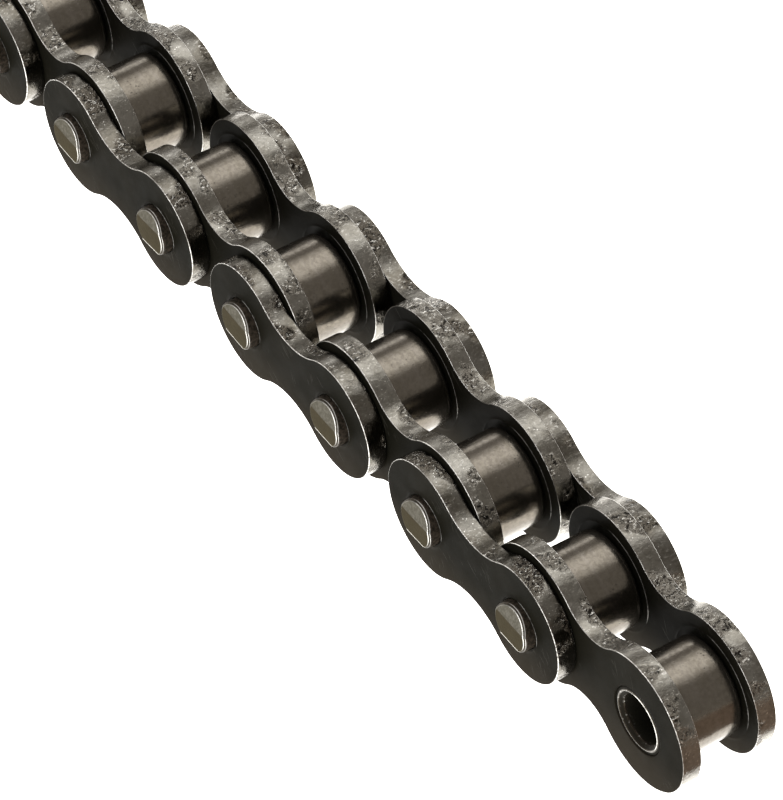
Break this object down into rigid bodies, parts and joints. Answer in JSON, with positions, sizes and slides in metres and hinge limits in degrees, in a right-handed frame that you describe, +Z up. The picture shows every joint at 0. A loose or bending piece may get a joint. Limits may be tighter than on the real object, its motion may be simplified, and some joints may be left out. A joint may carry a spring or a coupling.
{
  "type": "roller chain",
  "caption": "Length of narrow roller chain: waisted dark plates, bushes and riveted pins with free rollers between them, ending in an open inner link at each end.",
  "frame": {"origin": "on the ground under the middle of the straight chain", "axes": "+X along the chain towards axis 1, the front end; +Y along the pins, to the left; +Z up"},
  "size_m": [0.1574, 0.0172, 0.0146],
  "materials": {
    "plate": "dark heat-treated steel, satin faces, grainy sheared rims",
    "bush": "dark steel, satin, bright chamfer at the bore",
    "pin": "dark steel, satin, olive-brown riveted ends",
    "roller": "brown-grey steel, smooth satin"
  },
  "bodies": {
    "inner_link_1": {"inner_plate_1_left": "plate", "inner_plate_1_right": "plate", "bush_1": "bush", "bush_2": "bush"},
    "inner_link_2": {"inner_plate_2_left": "plate", "inner_plate_2_right": "plate", "bush_3": "bush", "bush_4": "bush"},
    "inner_link_3": {"inner_plate_3_left": "plate", "inner_plate_3_right": "plate", "bush_5": "bush", "bush_6": "bush"},
    "inner_link_4": {"inner_plate_4_left": "plate", "inner_plate_4_right": "plate", "bush_7": "bush", "bush_8": "bush"},
    "inner_link_5": {"inner_plate_5_left": "plate", "inner_plate_5_right": "plate", "bush_9": "bush", "bush_10": "bush"},
    "outer_link_1": {"outer_plate_1_left": "plate", "outer_plate_1_right": "plate", "pin_2": "pin", "pin_3": "pin"},
    "outer_link_2": {"outer_plate_2_left": "plate", "outer_plate_2_right": "plate", "pin_4": "pin", "pin_5": "pin"},
    "outer_link_3": {"outer_plate_3_left": "plate", "outer_plate_3_right": "plate", "pin_6": "pin", "pin_7": "pin"},
    "outer_link_4": {"outer_plate_4_left": "plate", "outer_plate_4_right": "plate", "pin_8": "pin", "pin_9": "pin"},
    "roller_1": {"roller_1": "roller"},
    "roller_2": {"roller_2": "roller"},
    "roller_3": {"roller_3": "roller"},
    "roller_4": {"roller_4": "roller"},
    "roller_5": {"roller_5": "roller"},
    "roller_6": {"roller_6": "roller"},
    "roller_7": {"roller_7": "roller"},
    "roller_8": {"roller_8": "roller"},
    "roller_9": {"roller_9": "roller"},
    "roller_10": {"roller_10": "roller"}
  },
  "joints": [
    {"name": "link_hinge_2", "type": "hinge", "parent": "inner_link_1", "child": "outer_link_1", "pos_m": [0.05556, 0, 0.0073], "axis": [0, 1, 0], "range_deg": [-36, 36]},
    {"name": "link_hinge_3", "type": "hinge", "parent": "outer_link_1", "child": "inner_link_2", "pos_m": [0.03969, 0, 0.0073], "axis": [0, 1, 0], "range_deg": [-36, 36]},
    {"name": "link_hinge_4", "type": "hinge", "parent": "inner_link_2", "child": "outer_link_2", "pos_m": [0.02381, 0, 0.0073], "axis": [0, 1, 0], "range_deg": [-36, 36]},
    {"name": "link_hinge_5", "type": "hinge", "parent": "outer_link_2", "child": "inner_link_3", "pos_m": [0.00794, 0, 0.0073], "axis": [0, 1, 0], "range_deg": [-36, 36]},
    {"name": "link_hinge_6", "type": "hinge", "parent": "inner_link_3", "child": "outer_link_3", "pos_m": [-0.00794, 0, 0.0073], "axis": [0, 1, 0], "range_deg": [-36, 36]},
    {"name": "link_hinge_7", "type": "hinge", "parent": "outer_link_3", "child": "inner_link_4", "pos_m": [-0.02381, 0, 0.0073], "axis": [0, 1, 0], "range_deg": [-36, 36]},
    {"name": "link_hinge_8", "type": "hinge", "parent": "inner_link_4", "child": "outer_link_4", "pos_m": [-0.03969, 0, 0.0073], "axis": [0, 1, 0], "range_deg": [-36, 36]},
    {"name": "link_hinge_9", "type": "hinge", "parent": "outer_link_4", "child": "inner_link_5", "pos_m": [-0.05556, 0, 0.0073], "axis": [0, 1, 0], "range_deg": [-36, 36]},
    {"name": "roller_spin_1", "type": "hinge", "parent": "inner_link_1", "child": "roller_1", "pos_m": [0.07144, 0, 0.0073], "axis": [0, 1, 0], "continuous": true},
    {"name": "roller_spin_2", "type": "hinge", "parent": "inner_link_1", "child": "roller_2", "pos_m": [0.05556, 0, 0.0073], "axis": [0, 1, 0], "continuous": true},
    {"name": "roller_spin_3", "type": "hinge", "parent": "inner_link_2", "child": "roller_3", "pos_m": [0.03969, 0, 0.0073], "axis": [0, 1, 0], "continuous": true},
    {"name": "roller_spin_4", "type": "hinge", "parent": "inner_link_2", "child": "roller_4", "pos_m": [0.02381, 0, 0.0073], "axis": [0, 1, 0], "continuous": true},
    {"name": "roller_spin_5", "type": "hinge", "parent": "inner_link_3", "child": "roller_5", "pos_m": [0.00794, 0, 0.0073], "axis": [0, 1, 0], "continuous": true},
    {"name": "roller_spin_6", "type": "hinge", "parent": "inner_link_3", "child": "roller_6", "pos_m": [-0.00794, 0, 0.0073], "axis": [0, 1, 0], "continuous": true},
    {"name": "roller_spin_7", "type": "hinge", "parent": "inner_link_4", "child": "roller_7", "pos_m": [-0.02381, 0, 0.0073], "axis": [0, 1, 0], "continuous": true},
    {"name": "roller_spin_8", "type": "hinge", "parent": "inner_link_4", "child": "roller_8", "pos_m": [-0.03969, 0, 0.0073], "axis": [0, 1, 0], "continuous": true},
    {"name": "roller_spin_9", "type": "hinge", "parent": "inner_link_5", "child": "roller_9", "pos_m": [-0.05556, 0, 0.0073], "axis": [0, 1, 0], "continuous": true},
    {"name": "roller_spin_10", "type": "hinge", "parent": "inner_link_5", "child": "roller_10", "pos_m": [-0.07144, 0, 0.0073], "axis": [0, 1, 0], "continuous": true}
  ]
}
